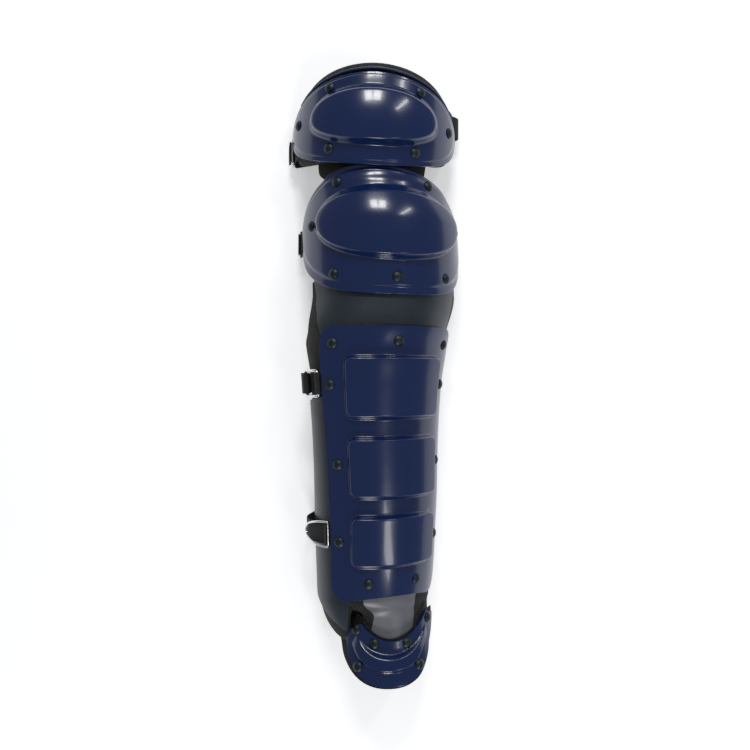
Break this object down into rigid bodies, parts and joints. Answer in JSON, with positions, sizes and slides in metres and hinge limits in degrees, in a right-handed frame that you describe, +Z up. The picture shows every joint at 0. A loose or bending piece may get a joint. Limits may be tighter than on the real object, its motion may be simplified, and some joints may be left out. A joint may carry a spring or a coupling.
{
  "type": "catcher leg guard",
  "caption": "Leg guard with rounded thigh and knee caps, a barrel shin shell with raised boxes, an instep cap, cloth padding behind and elastic straps across the back.",
  "frame": {"origin": "on the floor under the middle of the guard's bounding box", "axes": "+X across the leg to the right as seen from above, +Y from the foot to the thigh, +Z up from the floor through the front of the shells"},
  "size_m": [0.1664, 0.5652, 0.0966],
  "materials": {
    "shell_gloss": "hard moulded shell, glossy navy blue",
    "sheet_slate": "coated cloth, dark slate blue, soft sheen",
    "pad_knit": "black knit over foam padding",
    "piping_blue": "thin coated piping, navy blue",
    "link_knit": "black knit cloth",
    "tongue_satin": "satin grey coated cloth",
    "binding_knit": "black knit binding",
    "webbing": "black elastic webbing",
    "ring_chrome": "bright plated wire",
    "rivet_dark": "dark domed rivet head"
  },
  "bodies": {
    "root": {"thigh_cap": "shell_gloss", "knee_cap": "shell_gloss", "shin_shell": "shell_gloss", "instep_cap": "shell_gloss", "base_sheet": "sheet_slate", "shin_pad": "pad_knit", "thigh_pad": "pad_knit", "knee_pad": "pad_knit", "thigh_piping": "piping_blue", "neck_link": "link_knit", "foot_pad": "pad_knit", "tongue": "tongue_satin", "instep_binding": "binding_knit", "strap_thigh": "webbing", "tab_thigh": "webbing", "ring_thigh": "ring_chrome", "strap_knee": "webbing", "tab_knee": "webbing", "ring_knee": "ring_chrome", "strap_calf": "webbing", "tab_calf": "webbing", "ring_calf": "ring_chrome", "strap_ankle": "webbing", "tab_ankle": "webbing", "ring_ankle": "ring_chrome", "rivet_thigh_1": "rivet_dark", "rivet_thigh_2": "rivet_dark", "rivet_thigh_3": "rivet_dark", "rivet_thigh_4": "rivet_dark", "rivet_thigh_5": "rivet_dark", "rivet_thigh_6": "rivet_dark", "rivet_knee_1": "rivet_dark", "rivet_knee_2": "rivet_dark", "rivet_knee_3": "rivet_dark", "rivet_knee_4": "rivet_dark", "rivet_knee_5": "rivet_dark", "rivet_knee_6": "rivet_dark", "rivet_knee_7": "rivet_dark", "rivet_shin_1": "rivet_dark", "rivet_shin_2": "rivet_dark", "rivet_shin_3": "rivet_dark", "rivet_shin_4": "rivet_dark", "rivet_shin_5": "rivet_dark", "rivet_shin_6": "rivet_dark", "rivet_shin_7": "rivet_dark", "rivet_shin_8": "rivet_dark", "rivet_shin_9": "rivet_dark", "rivet_shin_10": "rivet_dark", "rivet_shin_11": "rivet_dark", "rivet_instep_1": "rivet_dark", "rivet_instep_2": "rivet_dark", "rivet_instep_3": "rivet_dark", "rivet_instep_4": "rivet_dark", "rivet_instep_5": "rivet_dark", "rivet_instep_6": "rivet_dark"}
  },
  "joints": []
}
